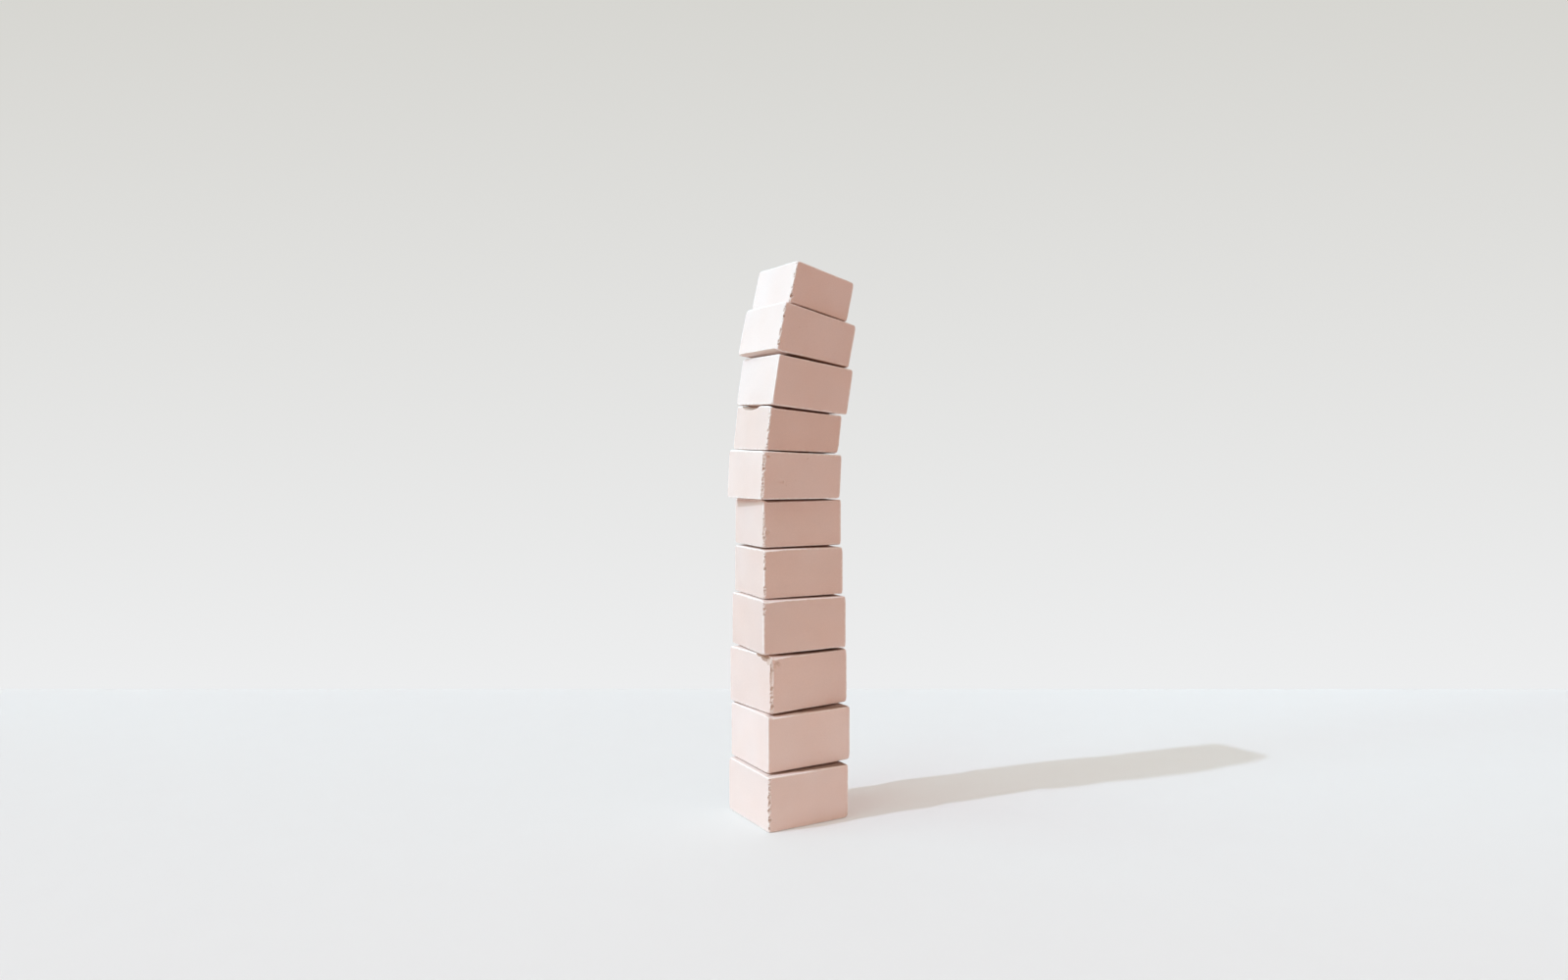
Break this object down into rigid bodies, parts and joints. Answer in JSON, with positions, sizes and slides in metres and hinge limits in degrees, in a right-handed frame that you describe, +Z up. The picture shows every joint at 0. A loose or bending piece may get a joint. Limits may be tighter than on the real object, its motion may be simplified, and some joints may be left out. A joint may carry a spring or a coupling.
{
  "type": "giant tumbling tower",
  "caption": "Tall free-standing stack of loose, near-square painted wooden blocks, one to a level; the upper blocks lean to one side and each block can be pushed along the one below.",
  "frame": {"origin": "middle of the bottom block's underside, on the floor", "axes": "+X along the bottom block's broad front face, which faces -Y; +Y towards its back; +Z up"},
  "size_m": [0.1936, 0.1941, 0.9684],
  "materials": {
    "blush_paint": "matt chalky blush paint on wood, edges worn and chipped"
  },
  "bodies": {
    "bottom_block": {"block_01": "blush_paint"},
    "second_block": {"block_02": "blush_paint"},
    "third_block": {"block_03": "blush_paint"},
    "fourth_block": {"block_04": "blush_paint"},
    "fifth_block": {"block_05": "blush_paint"},
    "sixth_block": {"block_06": "blush_paint"},
    "seventh_block": {"block_07": "blush_paint"},
    "eighth_block": {"block_08": "blush_paint"},
    "ninth_block": {"block_09": "blush_paint"},
    "tenth_block": {"block_10": "blush_paint"},
    "top_block": {"block_11": "blush_paint"}
  },
  "joints": [
    {"name": "second_block_slide", "type": "slide", "parent": "bottom_block", "child": "second_block", "axis": [1, -0.0087, 0], "range_m": [-0.085, 0.05]},
    {"name": "third_block_slide", "type": "slide", "parent": "second_block", "child": "third_block", "axis": [-0.0611, 0.9981, 0], "range_m": [-0.075, 0.04]},
    {"name": "fourth_block_slide", "type": "slide", "parent": "third_block", "child": "fourth_block", "axis": [-0.9954, 0.0958, 0], "range_m": [-0.06, 0.075]},
    {"name": "fifth_block_slide", "type": "slide", "parent": "fourth_block", "child": "fifth_block", "axis": [-0.1219, -0.9925, 0], "range_m": [-0.055, 0.065]},
    {"name": "sixth_block_slide", "type": "slide", "parent": "fifth_block", "child": "sixth_block", "axis": [0.9903, -0.1392, 0], "range_m": [-0.065, 0.055]},
    {"name": "seventh_block_slide", "type": "slide", "parent": "sixth_block", "child": "seventh_block", "axis": [0.0698, 0.9976, 0], "range_m": [-0.045, 0.075]},
    {"name": "eighth_block_slide", "type": "slide", "parent": "seventh_block", "child": "eighth_block", "axis": [-0.997, 0.0697, 0.0349], "range_m": [-0.045, 0.08]},
    {"name": "ninth_block_slide", "type": "slide", "parent": "eighth_block", "child": "ninth_block", "axis": [-0.055, -0.997, -0.0538], "range_m": [-0.06, 0.055]},
    {"name": "tenth_block_slide", "type": "slide", "parent": "ninth_block", "child": "tenth_block", "axis": [0.9894, 0.0144, -0.1448], "range_m": [-0.065, 0.06]},
    {"name": "top_block_slide", "type": "slide", "parent": "tenth_block", "child": "top_block", "axis": [-0.0383, 0.999, 0.0248], "range_m": [-0.06, 0.055]}
  ]
}
